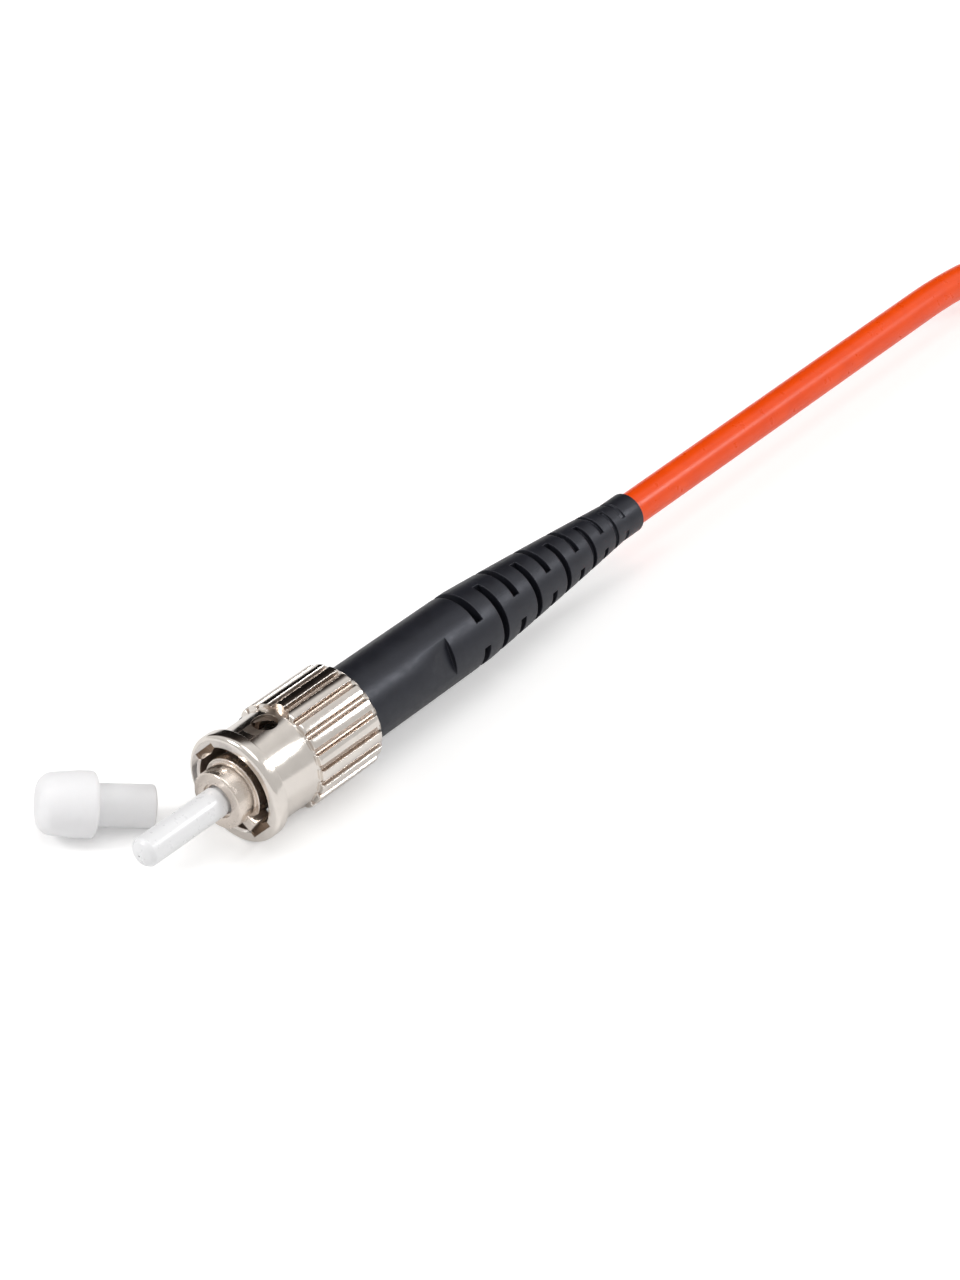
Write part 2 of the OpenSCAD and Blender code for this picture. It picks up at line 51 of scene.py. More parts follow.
def around(x, r, degrees):
    a = math.radians(degrees)
    return (x, r * math.cos(a), r * math.sin(a))


def rounded(corners, steps=6, closed=False):
    """A profile from (x, r, rounding) corners, each corner rounded off with a small arc."""
    out, n = [], len(corners)
    for i, (x, r, size) in enumerate(corners):
        p = Vector((x, r))
        if size <= 0 or (not closed and i in (0, n - 1)):
            out.append((x, r))
            continue
        before = Vector(corners[i - 1][:2]) - p
        after = Vector(corners[(i + 1) % n][:2]) - p
        cut_limit = 0.48 * min(before.length, after.length)
        before.normalize()
        after.normalize()
        half = before.angle(after) / 2
        cut = min(size / math.tan(half), cut_limit)
        radius = cut * math.tan(half)
        centre = p + (before + after).normalized() * (radius / math.sin(half))
        a, b = p + before * cut - centre, p + after * cut - centre
        turn = math.atan2(a.x * b.y - a.y * b.x, a.dot(b))
        for k in range(steps + 1):
            t = turn * k / steps
            out.append((centre.x + a.x * math.cos(t) - a.y * math.sin(t),
                        centre.y + a.x * math.sin(t) + a.y * math.cos(t)))
    return out


def lathe(profile, columns=128, closed=False, shape=None):
    """Vertices and faces turned about X. columns is a number, or a list of angles in degrees.
    shape(x, r, degrees) may change the radius of a point."""
    angles = columns if isinstance(columns, list) else [360 * k / columns for k in range(columns)]
    n, verts, rows = len(angles), [], []
    for x, r in profile:
        if r < 1e-6:
            rows.append([len(verts)] * n)
            verts.append((x, 0, 0))
            continue
        rows.append(list(range(len(verts), len(verts) + n)))
        verts += [around(x, shape(x, r, a) if shape else r, a) for a in angles]
    faces = []
    for lower, upper in zip(rows, rows[1:] + (rows[:1] if closed else [])):
        for k in range(n):
            j = (k + 1) % n
            ring = list(dict.fromkeys((lower[k], lower[j], upper[j], upper[k])))
            if len(ring) > 2:
                faces.append(ring)
    return verts, faces


def raw_object(name, verts, faces):
    mesh = bpy.data.meshes.new(name)
    mesh.from_pydata(verts, [], faces)
    mesh.validate()
    obj = bpy.data.objects.new(name, mesh)
    bpy.context.collection.objects.link(obj)
    return obj


def outward(obj):
    """Turns every face's normal outward."""
    bm = bmesh.new()
    bm.from_mesh(obj.data)
    bmesh.ops.recalc_face_normals(bm, faces=bm.faces)
    bm.to_mesh(obj.data)
    bm.free()
    return obj


def apply_modifiers(obj):
    bpy.context.view_layer.update()
    shown = obj.evaluated_get(bpy.context.evaluated_depsgraph_get())
    mesh = bpy.data.meshes.new_from_object(shown)
    obj.modifiers.clear()
    obj.data = mesh
    return obj


def cut(obj, *cutters):
    """Subtracts each cutter in turn, then removes it."""
    for cutter in cutters:
        m = obj.modifiers.new("cut", "BOOLEAN")
        m.operation = "DIFFERENCE"
        m.solver = "EXACT"
        m.object = cutter
    apply_modifiers(obj)
    for cutter in cutters:
        bpy.data.objects.remove(cutter)
    return obj


def merged(parts):
    """One vertex list and face list from several."""
    verts, faces = [], []
    for part_verts, part_faces in parts:
        first = len(verts)
        verts += part_verts
        faces += [[first + i for i in f] for f in part_faces]
    return verts, faces


def grid(across, along, point):
    """An open sheet of quads: point(u, v) for u and v from 0 to 1."""
    verts = [point(i / across, j / along) for j in range(along + 1) for i in range(across + 1)]
    w = across + 1
    faces = [[j * w + i, j * w + i + 1, (j + 1) * w + i + 1, (j + 1) * w + i]
             for j in range(along) for i in range(across)]
    return verts, faces


def block(across, along, point):
    """A closed slab: point(u, v, side) with side 0 for its lower sheet and 1 for its upper."""
    low = grid(across, along, lambda u, v: point(u, v, 0))
    high = grid(across, along, lambda u, v: point(u, v, 1))
    verts, faces = merged([low, high])
    w, shift = across + 1, len(low[0])
    rim = ([i for i in range(w)] + [j * w + across for j in range(1, along + 1)]
           + [along * w + i for i in range(across - 1, -1, -1)]
           + [j * w for j in range(along - 1, 0, -1)])
    for a, b in zip(rim, rim[1:] + rim[:1]):
        faces.append([a, b, b + shift, a + shift])
    return verts, faces


def radial_cylinder(x, degrees, radius, r_from, r_to, sides=96):
    """A round plug that points away from the axis."""
    a = math.radians(degrees)
    out, side = Vector((0, math.cos(a), math.sin(a))), Vector((0, -math.sin(a), math.cos(a)))
    verts = []
    for r in (r_from, r_to):
        for k in range(sides):
            t = 2 * math.pi * k / sides
            verts.append(Vector((x, 0, 0)) + out * r
                         + Vector((1, 0, 0)) * radius * math.cos(t) + side * radius * math.sin(t))
    faces = [[k, (k + 1) % sides, sides + (k + 1) % sides, sides + k] for k in range(sides)]
    faces += [list(range(sides))[::-1], list(range(sides, 2 * sides))]
    return [tuple(v) for v in verts], faces


def tube(points, radius, sides=10):
    """A round tube along points, in millimetres."""
    verts, faces, n = [], [], len(points)
    pts = [Vector(p) for p in points]
    frame_up = Vector((0.13, 0.29, 1)).normalized()
    for i, p in enumerate(pts):
        d = (pts[min(i + 1, n - 1)] - pts[max(i - 1, 0)]).normalized()
        side = d.cross(frame_up).normalized()
        frame_up = side.cross(d)
        for k in range(sides):
            t = 2 * math.pi * k / sides
            verts.append(tuple(p + side * radius * math.cos(t) + frame_up * radius * math.sin(t)))
    for i in range(n - 1):
        for k in range(sides):
            j = (k + 1) % sides
            faces.append([i * sides + k, i * sides + j, (i + 1) * sides + j, (i + 1) * sides + k])
    faces += [list(range(sides))[::-1], list(range((n - 1) * sides, n * sides))]
    return verts, faces


def store(obj, body, material, sharp=32):
    """Finishes a piece: smooth faces with sharp edges kept, in metres, on its body."""
    outward(obj)
    obj.data.transform(Matrix.Scale(MM, 4))
    obj.data.shade_smooth()
    obj.data.set_sharp_from_angle(angle=math.radians(sharp))
    obj.data.materials.clear()
    obj.data.materials.append(material)
    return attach(obj, body)


# ---------------------------------------------------------------- camera

def make_camera():
    data = bpy.data.cameras.new("camera")
    data.sensor_fit = "VERTICAL"
    data.sensor_height = 36
    data.lens = 112.5
    data.clip_start = 0.01
    camera = bpy.data.objects.new("camera", data)
    camera.location = Vector((-170.3, -168.5, 191.3)) * MM
    look = Vector((0.6177, 0.5162, -0.5934))
    camera.rotation_euler = look.to_track_quat("-Z", "Y").to_euler()
    bpy.context.collection.objects.link(camera)
    bpy.context.scene.camera = camera


make_camera()


# ---------------------------------------------------------------- materials

class Surface:
    """A Principled material with its noise, colour and bump nodes."""

    def __init__(self, name, **values):
        self.material = bpy.data.materials.new(name)
        self.material.use_nodes = True
        self.tree = self.material.node_tree
        self.shader = self.tree.nodes["Principled BSDF"]
        for socket, value in values.items():
            self.shader.inputs[socket.replace("_", " ")].default_value = value
        self.bump = None

    def node(self, kind, **settings):
        n = self.tree.nodes.new(kind)
        for key, value in settings.items():
            setattr(n, key, value)
        return n

    def link(self, a, b):
        self.tree.links.new(a, b)

    def place(self, scale=(1, 1, 1), source="Object"):
        """Object coordinates in millimetres, stretched by scale."""
        coords, mapping = self.node("ShaderNodeTexCoord"), self.node("ShaderNodeMapping")
        mapping.inputs["Scale"].default_value = [1000 * s for s in scale]
        self.link(coords.outputs[source], mapping.inputs["Vector"])
        return mapping.outputs["Vector"]

    def noise(self, size_mm, detail=4, rough=0.55, stretch=(1, 1, 1)):
        n = self.node("ShaderNodeTexNoise")
        n.inputs["Scale"].default_value = 1 / size_mm
        n.inputs["Detail"].default_value = detail
        n.inputs["Roughness"].default_value = rough
        self.link(self.place(stretch), n.inputs["Vector"])
        return n.outputs["Fac"]

    def ramp(self, value, stops):
        r = self.node("ShaderNodeValToRGB")
        elements = r.color_ramp.elements
        while len(elements) < len(stops):
            elements.new(0.5)
        for element, (at, colour) in zip(elements, stops):
            element.position = at
            element.color = (*colour, 1)
        self.link(value, r.inputs["Fac"])
        return r.outputs["Color"]

    def colour(self, value, stops):
        self.link(self.ramp(value, stops), self.shader.inputs["Base Color"])

    def roughness(self, value, low, high):
        m = self.node("ShaderNodeMapRange")
        m.inputs["From Min"].default_value = 0.3
        m.inputs["From Max"].default_value = 0.7
        m.inputs["To Min"].default_value = low
        m.inputs["To Max"].default_value = high
        self.link(value, m.inputs["Value"])
        self.link(m.outputs["Result"], self.shader.inputs["Roughness"])

    def raise_by(self, value, depth_mm, strength=1.0):
        """Adds a bump on top of the bumps before it."""
        b = self.node("ShaderNodeBump")
        b.inputs["Strength"].default_value = strength
        b.inputs["Distance"].default_value = depth_mm * MM
        self.link(value, b.inputs["Height"])
        if self.bump:
            self.link(self.bump, b.inputs["Normal"])
        self.bump = b.outputs["Normal"]
        self.link(self.bump, self.shader.inputs["Normal"])

    def soften_edges(self, radius_mm, samples=6):
        """Rounds the shading of sharp edges."""
        b = self.node("ShaderNodeBevel", samples=samples)
        b.inputs["Radius"].default_value = radius_mm * MM
        self.bump = b.outputs["Normal"]
        self.link(self.bump, self.shader.inputs["Normal"])


def nickel(name, tint=(0.83, 0.78, 0.73), low=0.11, high=0.2, edge=0.04):
    s = Surface(name, Metallic=1.0)
    s.soften_edges(edge)
    worn = s.noise(1.3, 5)
    s.colour(worn, [(0.3, [0.93 * c for c in tint]), (0.7, tint)])
    s.roughness(s.noise(0.5, 6, 0.6), low, high)
    s.raise_by(s.noise(0.035, 2, 0.5, (1, 0.05, 0.05)), 0.0008, 0.4)
    s.raise_by(s.noise(0.9, 3), 0.003, 0.3)
    return s.material


def steel(name, tint=(0.56, 0.55, 0.53)):
    s = Surface(name, Metallic=1.0)
    s.colour(s.noise(0.6, 4), [(0.3, [0.85 * c for c in tint]), (0.7, tint)])
    s.roughness(s.noise(0.25, 4), 0.22, 0.4)
    s.raise_by(s.noise(0.04, 2, 0.5, (0.3, 1, 1)), 0.0015, 0.5)
    return s.material


def zirconia():
    s = Surface("zirconia", IOR=1.8)
    s.colour(s.noise(2.0, 2), [(0.3, (0.82, 0.825, 0.84)), (0.7, (0.84, 0.845, 0.86))])
    s.roughness(s.noise(0.6, 2), 0.26, 0.33)
    s.raise_by(s.noise(0.3, 1), 0.0003, 0.2)
    return s.material


def boot_plastic():
    s = Surface("boot_plastic", IOR=1.5)
    s.soften_edges(0.12, 8)
    s.colour(s.noise(1.6, 4), [(0.3, (0.008, 0.0085, 0.012)), (0.7, (0.012, 0.013, 0.018))])
    s.shader.inputs["Specular Tint"].default_value = (0.86, 0.89, 1.0, 1.0)
    s.roughness(s.noise(0.7, 5), 0.36, 0.46)
    s.raise_by(s.noise(0.06, 3, 0.6), 0.004, 0.5)
    s.raise_by(s.noise(1.8, 2), 0.02, 0.4)
    return s.material


def jacket(name):
    s = Surface(name, IOR=1.45)
    s.colour(s.noise(2.5, 4), [(0.3, (0.78, 0.06, 0.001)), (0.7, (0.86, 0.076, 0.002))])
    s.roughness(s.noise(1.2, 5), 0.26, 0.36)
    s.raise_by(s.noise(0.12, 3, 0.55), 0.003, 0.45)
    s.raise_by(s.noise(3.0, 2), 0.03, 0.4)
    return s.material


def frosted_cap():
    s = Surface("frosted_cap", IOR=1.46, Subsurface_Weight=0.5, Subsurface_Scale=0.0015)
    s.shader.inputs["Subsurface Radius"].default_value = (1.0, 0.97, 0.95)
    s.colour(s.noise(1.5, 3), [(0.3, (0.85, 0.85, 0.865)), (0.7, (0.87, 0.87, 0.885))])
    s.roughness(s.noise(0.6, 4), 0.45, 0.56)
    s.raise_by(s.noise(0.07, 3), 0.002, 0.5)
    s.raise_by(s.noise(1.2, 2), 0.02, 0.4)
    return s.material


def fibre_glass():
    s = Surface("fibre_glass", IOR=1.46, Transmission_Weight=0.9)
    s.colour(s.noise(0.05, 2), [(0.3, (0.80, 0.85, 0.86)), (0.7, (0.88, 0.92, 0.93))])
    s.roughness(s.noise(0.02, 2), 0.05, 0.12)
    s.raise_by(s.noise(0.02, 2), 0.0002, 0.3)
    return s.material


def plain_plastic(name, dark, light, low, high, grain=0.2):
    s = Surface(name, IOR=1.5)
    s.colour(s.noise(1.0, 4), [(0.3, dark), (0.7, light)])
    s.roughness(s.noise(0.5, 4), low, high)
    s.raise_by(s.noise(grain, 3), 0.004, 0.5)
    return s.material


def yarn():
    s = Surface("aramid", Sheen_Weight=0.4, Sheen_Roughness=0.4)
    s.colour(s.noise(0.08, 3, 0.6, (0.08, 1, 1)),
             [(0.3, (0.55, 0.40, 0.10)), (0.7, (0.80, 0.66, 0.26))])
    s.roughness(s.noise(0.2, 3), 0.45, 0.6)
    s.raise_by(s.noise(0.05, 2, 0.5, (0.05, 1, 1)), 0.02, 0.7)
    return s.material


def woven_tie():
    s = Surface("woven_tie", Sheen_Weight=0.5, Sheen_Roughness=0.5)
    wave = s.node("ShaderNodeTexWave", wave_type="BANDS", bands_direction="X")
    wave.inputs["Scale"].default_value = 1.4
    wave.inputs["Distortion"].default_value = 1.2
    s.link(s.place(), wave.inputs["Vector"])
    s.colour(s.noise(0.3, 4), [(0.3, (0.010, 0.010, 0.011)), (0.7, (0.028, 0.028, 0.031))])
    s.roughness(s.noise(0.4, 4), 0.75, 0.9)
    s.raise_by(wave.outputs["Fac"], 0.05, 0.8)
    s.raise_by(s.noise(0.08, 3), 0.03, 0.8)
    return s.material


NICKEL = nickel("nickel")
NICKEL_HUB = nickel("nickel_hub", (0.80, 0.72, 0.65), 0.2, 0.3)
# darker, browner tint for the flute faces: painted shade in the grooves
NICKEL_FLUTE_SHADE = nickel("nickel_flute_painted_shade", (0.50, 0.415, 0.355), 0.22, 0.34)
# darker, browner tint for the bore and the seats: painted shade in the recesses
NICKEL_BORE_SHADE = nickel("nickel_inside_painted_shade", (0.66, 0.56, 0.48), 0.3, 0.42)
STEEL = steel("spring_steel")
CRIMP = steel("crimp_brass", (0.78, 0.62, 0.34))
ZIRCONIA = zirconia()
BOOT = boot_plastic()
JACKET = jacket("orange_jacket")
CAP = frosted_cap()
GLASS = fibre_glass()
BUFFER = plain_plastic("buffer", (0.80, 0.77, 0.68), (0.88, 0.85, 0.76), 0.35, 0.5)
YARN = yarn()
TIE = woven_tie()


# ---------------------------------------------------------------- cable

CABLE_R = 1.5
BOOT_END = 50.7
CABLE_START, DROP_START, SWING_START = 24.0, 94.0, 100.0
COIL_FRONT, COIL_BACK = 137.0, 163.8
# the turns of the long coil as (bend radius, layer), and where in its turn each changes place
TURNS = [(12, 0), (12, 1), (12, 2), (12, 3), (9, 3), (9, 2), (9, 1), (9, 0)]
CHANGES = [(0.80, 0.93)] * 3 + [(0.655, 0.80)] + [(0.36, 0.48)] * 3
TIE_AT, TIE_X = 0.625, 150.4
TIE_SQUEEZE = 0.078


def eased(t):
    t = min(max(t, 0), 1)
    return t * t * (3 - 2 * t)


def on_coil(t, r):
    """Place in one turn: along one side, round the far bend, back along the other, round again."""
    quarter, u = int(t * 4) % 4, t * 4 % 1
    if quarter in (0, 2):
        sign = 1 if quarter == 2 else -1
        run = COIL_FRONT + (COIL_BACK - COIL_FRONT) * (u if quarter == 0 else 1 - u)
        return run, sign * r
    a = math.pi * (u - 0.5)
    if quarter == 1:
        return COIL_BACK + r * math.cos(a), r * math.sin(a)
    return COIL_FRONT - r * math.cos(a), -r * math.sin(a)


def coil_points():
    """The wound length, held a little lower where the tie is. Its end turns in on the inside."""
    points, steps = [], 88
    for k, (first, last) in enumerate(CHANGES):
        for s in range(steps):
            t = s / steps
            done = eased((t - first) / (last - first))
            (r0, l0), (r1, l1) = TURNS[k], TURNS[k + 1]
            r = r0 + (r1 - r0) * done
            z = FLOOR + CABLE_R + 2 * CABLE_R * (l0 + (l1 - l0) * done)
            hold = TIE_SQUEEZE * math.exp(-((t - TIE_AT) / 0.04) ** 2)
            z += (FLOOR + 4 * CABLE_R - z) * hold
            points.append((*on_coil(t, r), z))
    for s in range(15):
        x = COIL_FRONT + 27 * s / 14
        points.append((x, -9 + 4.3 * eased((x - 147) / 17), FLOOR + CABLE_R))
    return points


def make_cable():
    points = [(CABLE_START + 7 * k, 0, 0) for k in range(10)]
    for k in range(26):
        x = DROP_START + (COIL_FRONT - DROP_START) * k / 26
        points.append((x, -12 * eased((x - SWING_START) / 28),
                       (FLOOR + CABLE_R) * eased((x - DROP_START) / 28)))
    points += coil_points()
    curve = bpy.data.curves.new("cable_jacket", "CURVE")
    curve.dimensions = "3D"
    curve.bevel_depth = CABLE_R * MM
    curve.bevel_resolution = 8
    curve.use_fill_caps = True
    line = curve.splines.new("POLY")
    line.points.add(len(points) - 1)
    for p, q in zip(line.points, points):
        p.co = (*[c * MM for c in q], 1)
    line.use_smooth = True
    curve.materials.append(JACKET)
    cable = bpy.data.objects.new("cable_jacket", curve)
    bpy.context.collection.objects.link(cable)
    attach(cable, "connector")
    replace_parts(cable, "cable", "cable_coil")
    return cable, points


def make_cable_end(points):
    """The bare end: a stub of tight buffer and a tuft of yarn."""
    end, before = Vector(points[-1]), Vector(points[-2])
    d = (end - before).normalized()
    bits = []
    core = [end - d * 1.0 + d * s for s in (0, 1.5, 3, 4.5)]
    stub = raw_object("bare_end_buffer", *tube(core, 0.45, 20))
    bits.append(store(stub, "connector", BUFFER))
    strands = []
    for k in range(36):
        a, r = 2 * math.pi * k / 36, random.uniform(0.7, 1.15)
        side = Vector((0, 0, 1)).cross(d).normalized()
        off = side * math.cos(a) * r + Vector((0, 0, 1)) * math.sin(a) * r
        length = random.uniform(1.4, 2.4)
        flare = random.uniform(1.0, 1.2)
        strands.append(tube([end - d * 0.4 + off * 0.9, end + d * length * 0.5 + off,
                             end + d * length + off * flare], 0.06, 6))
    tuft = raw_object("bare_end_yarn", *merged(strands))
    bits.append(store(tuft, "connector", YARN, 60))
    return bits


def make_tie():
    """A strap round one side of the coil, with its end lapped over on top."""
    half_y, half_z, corner, thick, width = 3.35, 6.0, 1.3, 0.33, 5.0
    mid_y, mid_z = 10.5, FLOOR + 6

    def loop(inset):
        outline = rounded([(y, z, corner) for y, z in (
            (-half_y + inset, -half_z + inset), (half_y - inset, -half_z + inset),
            (half_y - inset, half_z - inset), (-half_y + inset, half_z - inset))], 8, True)
        return [(mid_y + y, mid_z + z) for y, z in outline]

    outer, inner = loop(0), loop(thick)
    n, verts, faces = len(outer), [], []
    for x in (-width / 2, width / 2):
        for ring in (outer, inner):
            verts += [(TIE_X + x, y, z) for y, z in ring]
    for k in range(n):
        j = (k + 1) % n
        faces += [[k, j, 2 * n + j, 2 * n + k], [n + k, n + j, 3 * n + j, 3 * n + k],
                  [k, j, n + j, n + k], [2 * n + k, 2 * n + j, 3 * n + j, 3 * n + k]]

    def lap(u, v, side):
        y = mid_y - 1.7 + 3.6 * v
        return (TIE_X + (u - 0.5) * width * 0.96, y, mid_z + half_z + 0.01 + side * thick * 0.8)

    strap = raw_object("coil_strap", *merged([(verts, faces), block(6, 10, lap)]))
    m = strap.modifiers.new("edge", "BEVEL")
    m.width = 0.08
    m.segments = 2
    m.limit_method = "ANGLE"
    apply_modifiers(strap)
    store(strap, "connector", TIE)
    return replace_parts(strap, "coil_tie")


cable, cable_points = make_cable()
end_pieces = make_cable_end(cable_points)
tie = make_tie()


# ---------------------------------------------------------------- ferrule and hub

def make_ferrule():
    r, back = 1.25, 5.9
    profile = rounded([
        (-8.6, 0.07, 0), (-8.6, 0.42, 0.1), (-8.3, 1.02, 0.35), (-7.95, r, 0.25), (-0.1, r, 0.04),
        (-0.02, 1.05, 0.02), (0.52, 1.05, 0.02), (0.6, r, 0.03), (back - 0.15, r, 0.05),
        (back, r - 0.15, 0.05), (back, 0.4, 0), (4.5, 0.07, 0)], 6, True)
    piece = raw_object("ferrule_ceramic", *lathe(profile, 160, True))
    store(piece, "connector", ZIRCONIA, 50)
    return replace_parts(piece, "ferrule")


def make_hub():
    """Hub, collar, shank and crimp post in one, with the key lug on the collar."""
    profile = [
        (0.3, 1.27, 0.02), (0.3, 1.45, 0.04), (0.0, 1.45, 0.05), (0.0, 2.45, 0.17),
        (1.7, 2.45, 0.05), (1.7, 2.8, 0.08), (2.6, 2.8, 0.06), (2.6, 2.1, 0.05),
        (11.17, 2.1, 0.02), (11.17, 1.75, 0.02), (11.66, 1.75, 0.02), (11.66, 2.1, 0.02),
        (13.05, 2.1, 0.08), (13.05, 1.75, 0.04)]
    for k in range(1, 7):
        mid = 13.05 + k
        profile += [(mid - 0.2, 1.75, 0.03), (mid - 0.14, 1.63, 0.03), (mid + 0.14, 1.63, 0.03),
                    (mid + 0.2, 1.75, 0.03)]
    profile += [(20.05, 1.75, 0.1), (20.05, 0.6, 0.05), (5.92, 0.6, 0.02), (5.92, 1.27, 0.02)]
    body = lathe(rounded(profile, 4, True), 144, True)

    def lug(u, v, side):
        x = 0.8 + v * 1.8
        across = (u - 0.5) * 1.1
        reach = 2.2 + side * 1.1
        a = math.radians(211)
        return (x, reach * math.cos(a) - across * math.sin(a),
                reach * math.sin(a) + across * math.cos(a))

    key = raw_object("key", *block(4, 6, lug))
    outward(key)
    m = key.modifiers.new("edge", "BEVEL")
    m.width = 0.1
    m.segments = 3
    m.limit_method = "ANGLE"
    apply_modifiers(key)
    key_mesh = ([tuple(v.co) for v in key.data.vertices],
                [list(p.vertices) for p in key.data.polygons])
    bpy.data.objects.remove(key)
    piece = raw_object("hub_body", *merged([body, key_mesh]))
    store(piece, "connector", NICKEL_HUB)
    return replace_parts(piece, "connector_body")


make_ferrule()
make_hub()


# ---------------------------------------------------------------- coupling nut

NUT_FRONT, RIM_BACK, GRIP_FRONT, NUT_BACK = 1.75, 3.0, 7.15, 14.3
RIM_R, BARREL_R, GRIP_R = 4.7, 4.175, 4.65
DETENT_X, DETENT_R = 5.82, 1.05
NOTCH, LOCK_TURN, NOTCH_WIDTH = 41, 46, 2.6
SEAT_DEPTH, SEAT_R = 0.06, 1.9
TRACK_R = 3.915
FLUTE_AT, RIB_AT, FLUTE_PITCH, FLUTES = 5, 14, 18, 20
GRIP_FLOOR_R = BARREL_R + 0.06


def off_centre(degrees, centre):
    """Angle to the nearest flute or rib, where centre is the angle of one of them."""
    return abs((degrees - centre + FLUTE_PITCH / 2) % FLUTE_PITCH - FLUTE_PITCH / 2)


def flute_depth(degrees):
    """Depth of the flutes at an angle, from 0 on a rib to 1 on a flute's floor."""
    off = off_centre(degrees, FLUTE_AT)
    return 1 - eased((off - 2.35) / 1.75)


def make_nut():
    """The turned and fluted shell, then the seats, holes, notches and tracks cut from it."""
    steps = [0, 1.2, 2.0, 2.4, 2.7, 3.0, 3.25, 3.5, 3.75, 4.0, 4.3, 5.5, 7.2]
    angles = sorted({round((FLUTE_AT + FLUTE_PITCH * k + sign * s) % 360, 4)
                     for k in range(FLUTES) for s in steps + [9] for sign in (-1, 1)})

    def fluted(x, r, degrees):
        if x < GRIP_FRONT - 1e-4 or r <= GRIP_FLOOR_R:
            return r
        crown = 0.045 * (off_centre(degrees, RIB_AT) / 6) ** 2
        return GRIP_FLOOR_R + (r - GRIP_FLOOR_R) * (1 - 0.8 * flute_depth(degrees)) - crown

    profile = rounded([
        (1.92, 3.55, 0.05), (NUT_FRONT, 3.74, 0.07), (NUT_FRONT, RIM_R, 0.52),
        (RIM_BACK, RIM_R, 0.12), (RIM_BACK, BARREL_R, 0.07), (GRIP_FRONT, BARREL_R, 0.05),
        (GRIP_FRONT, GRIP_R, 0.26), (13.9, GRIP_R, 0.1), (NUT_BACK, 4.25, 0.1),
        (NUT_BACK, 3.9, 0.05), (14.15, 3.75, 0.04), (10.8, 3.75, 0.08), (10.8, 2.16, 0.06),
        (9.6, 2.16, 0.06), (9.6, 3.15, 0.08), (8.05, 3.15, 0.06), (8.05, 3.55, 0.08)], 6, True)
    nut = outward(raw_object("coupling_nut_shell", *lathe(profile, angles, True, fluted)))

    def plugs(radius, r_from, r_to):
        return outward(raw_object("plug", *merged([
            radial_cylinder(DETENT_X, NOTCH + LOCK_TURN + side, radius, r_from, r_to)
            for side in (0, 180)])))

    def notch(side):
        def corner(u, v, level):
            a = math.radians(NOTCH + side)
            across, reach = (u - 0.5) * NOTCH_WIDTH, 2.4 + level * (TRACK_R - 2.4)
            x = 0.9 + v * 2.15
            return (x, reach * math.cos(a) - across * math.sin(a),
                    reach * math.sin(a) + across * math.cos(a))
        return block(8, 4, corner)

    def track(side):
        start_x, start_a = 4.1, NOTCH + side
        run_x = DETENT_X - start_x
        run_s = math.radians(LOCK_TURN) * TRACK_R
        length = math.hypot(run_x, run_s)
        hw = DETENT_R + 0.02

        def point(u, v, level):
            w = 2 * u - 1
            lead = hw * math.sqrt(max(0, 1 - w * w))
            s = -lead + v * (length + 2 * lead)
            x = start_x + s * run_x / length - w * hw * run_s / length
            arc = s * run_s / length + w * hw * run_x / length
            return around(x, 3.0 + level * (TRACK_R - 3.0), start_a + math.degrees(arc / TRACK_R))
        return block(12, 40, point)

    notches = outward(raw_object("notches", *merged([notch(s) for s in (0, 180)])))
    tracks = outward(raw_object("tracks", *merged([track(s) for s in (0, 180)])))
    cut(nut, plugs(SEAT_R, BARREL_R - SEAT_DEPTH, 6), plugs(DETENT_R, 1.9, 6.5), notches, tracks)
    store(nut, "nut", NICKEL, 38)
    nut.data.materials.append(NICKEL_BORE_SHADE)
    nut.data.materials.append(NICKEL_FLUTE_SHADE)
    hole = math.radians(NOTCH + LOCK_TURN)
    for face in nut.data.polygons:
        x, y, z = face.center / MM
        lift = abs(y * math.cos(hole) + z * math.sin(hole))
        aside = math.hypot(x - DETENT_X, y * math.sin(hole) - z * math.cos(hole))
        out, turn = math.hypot(y, z), math.degrees(math.atan2(z, y))
        # faces in the bore and on the seats take the darker inside tint: painted shade
        bored = out < BARREL_R - 0.12 and 1.85 < x < NUT_BACK - 0.1
        seat = abs(lift - BARREL_R + SEAT_DEPTH) < 0.004 and aside < SEAT_R
        if bored or seat:
            face.material_index = 1
        # faces down in the flutes take the darker flute tint: painted shade
        elif GRIP_FRONT + 0.1 < x < NUT_BACK - 0.3 and flute_depth(turn) > 0.3:
            face.material_index = 2
    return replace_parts(nut, "coupling_nut")


make_nut()


# ---------------------------------------------------------------- boot

BOOT_ANGLE = 157
SLOT_X, BOOT_BORE = [], 1.57
at, gap = 28.4, 2.5
for station in range(11):
    SLOT_X.append(at)
    at, gap = at + gap, gap - 0.11


def taper(x):
    t = (x - 29.5) / (SLOT_X[-1] - 29.5)
    return 3.31 + t * (1.79 - 3.31) + 0.05 * math.sin(math.pi * t)


